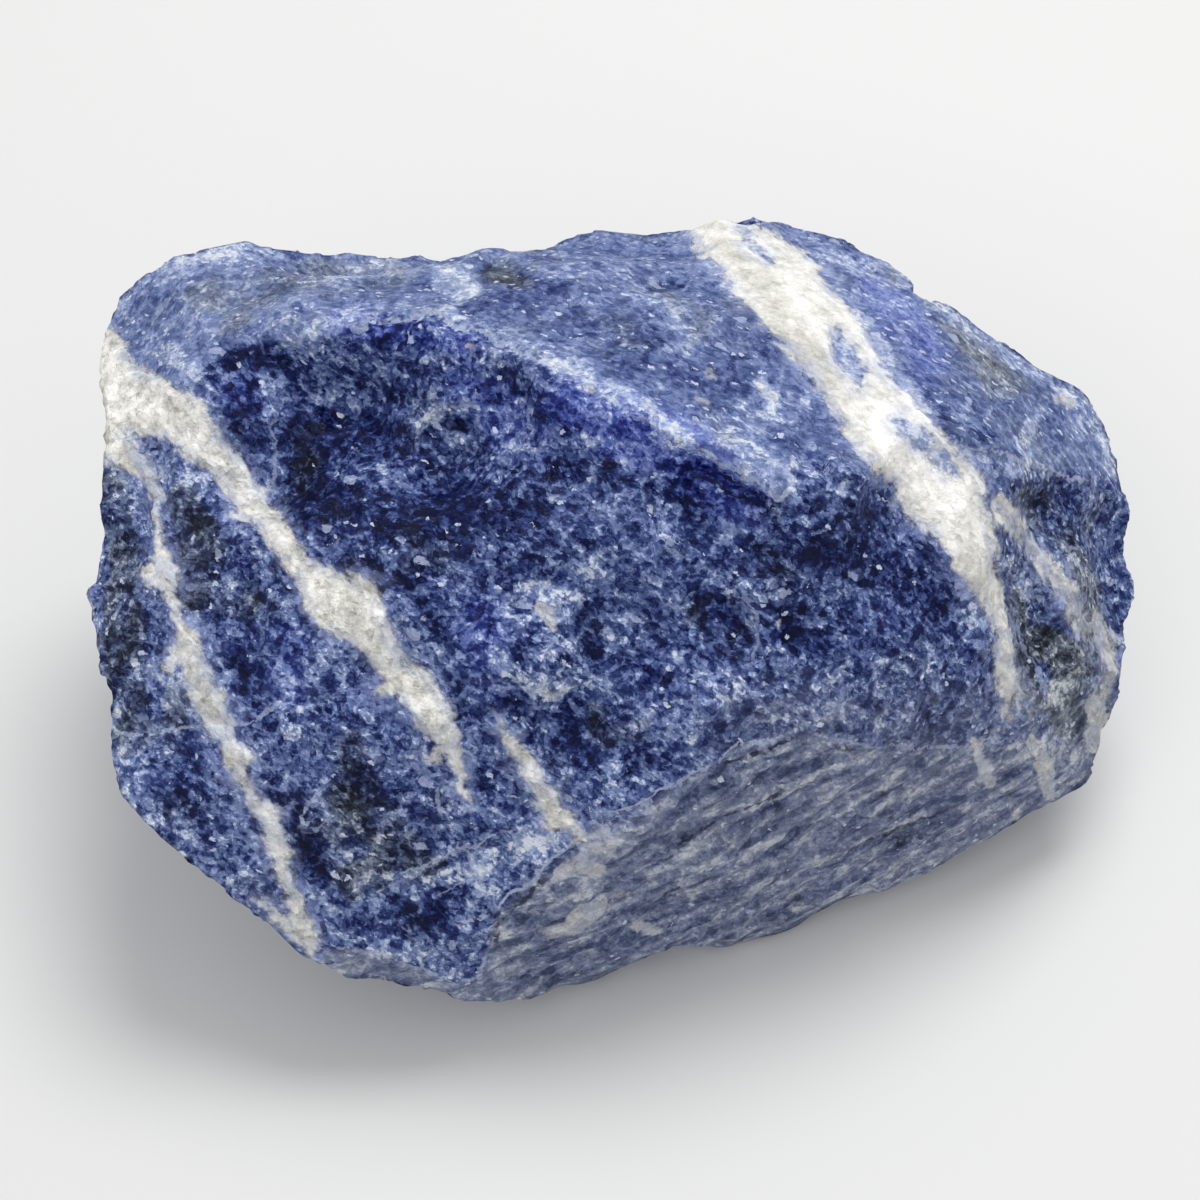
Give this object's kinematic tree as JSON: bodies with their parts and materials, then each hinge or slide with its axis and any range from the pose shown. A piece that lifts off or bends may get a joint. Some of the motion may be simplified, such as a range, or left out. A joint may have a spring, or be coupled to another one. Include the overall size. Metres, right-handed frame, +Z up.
{
  "type": "rough sodalite stone",
  "caption": "Hand-sized lump of rough sodalite, a broken block of deep blue rock with white veins, resting on a flat spot of its underside.",
  "frame": {"origin": "middle of the stone's footprint, on the surface it rests on", "axes": "+X to the right along the stone's length as it is looked at from the front, +Y to its back, +Z up"},
  "size_m": [0.0814, 0.0544, 0.0406],
  "materials": {
    "sodalite": "broken rock surface, dull to waxy with small glassy glints; deep blue with white and cream veins"
  },
  "bodies": {
    "root": {"sodalite_stone": "sodalite"}
  },
  "joints": []
}
